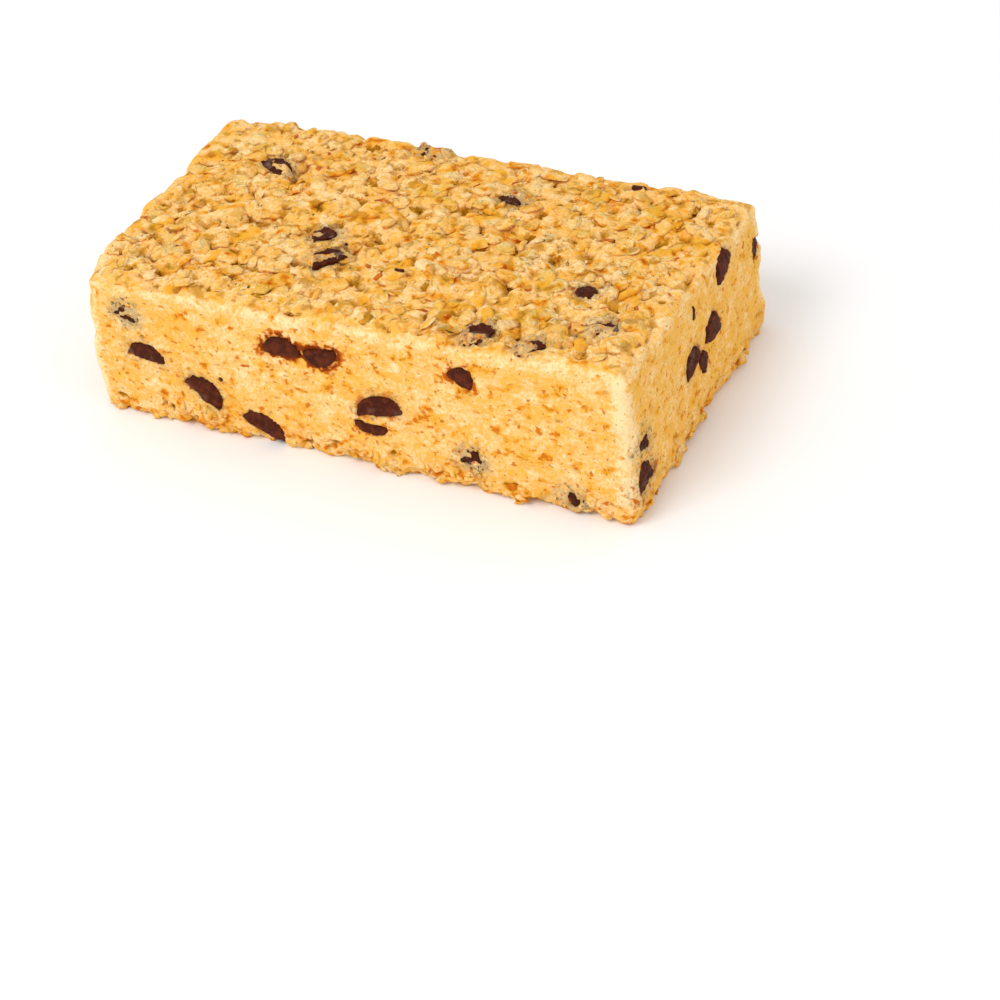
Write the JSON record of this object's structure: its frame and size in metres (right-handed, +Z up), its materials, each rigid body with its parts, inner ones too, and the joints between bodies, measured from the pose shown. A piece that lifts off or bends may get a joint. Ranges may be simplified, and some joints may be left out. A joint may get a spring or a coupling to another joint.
{
  "type": "granola bar",
  "caption": "Baked oat flapjack bar with dark chocolate drops: a thick cut block of pressed rolled oats, rough on top and smooth on its cut sides.",
  "frame": {"origin": "middle of the rectangle the bar covers, on the table it rests on", "axes": "+X along the bar's length to its right end, +Y from the front long side to the back, +Z up out of the rough top"},
  "size_m": [0.0914, 0.0542, 0.0262],
  "materials": {
    "oats": "baked rolled oats in syrup, rough crumb, slightly waxy",
    "chocolate": "dark chocolate, cut and smudged, matte with a faint gloss"
  },
  "bodies": {
    "root": {"oat_slab": "oats", "chocolate_drop_back_1": "chocolate", "chocolate_drop_back_2": "chocolate", "chocolate_drop_back_3": "chocolate", "chocolate_drop_back_4": "chocolate", "chocolate_drop_back_5": "chocolate", "chocolate_drop_back_6": "chocolate", "chocolate_drop_back_7": "chocolate", "chocolate_drop_front_1": "chocolate", "chocolate_drop_front_10": "chocolate", "chocolate_drop_front_11": "chocolate", "chocolate_drop_front_2": "chocolate", "chocolate_drop_front_3": "chocolate", "chocolate_drop_front_4": "chocolate", "chocolate_drop_front_5": "chocolate", "chocolate_drop_front_6": "chocolate", "chocolate_drop_front_7": "chocolate", "chocolate_drop_front_8": "chocolate", "chocolate_drop_front_9": "chocolate", "chocolate_drop_left_1": "chocolate", "chocolate_drop_left_2": "chocolate", "chocolate_drop_left_3": "chocolate", "chocolate_drop_left_4": "chocolate", "chocolate_drop_right_1": "chocolate", "chocolate_drop_right_2": "chocolate", "chocolate_drop_right_3": "chocolate", "chocolate_drop_right_4": "chocolate", "chocolate_drop_right_5": "chocolate", "chocolate_drop_right_6": "chocolate", "chocolate_drop_right_7": "chocolate", "chocolate_drop_top_1": "chocolate", "chocolate_drop_top_2": "chocolate", "chocolate_drop_top_3": "chocolate", "chocolate_drop_top_4": "chocolate", "chocolate_drop_top_5": "chocolate", "chocolate_drop_top_6": "chocolate", "chocolate_drop_top_7": "chocolate", "chocolate_drop_top_8": "chocolate", "chocolate_drop_top_9": "chocolate"}
  },
  "joints": []
}
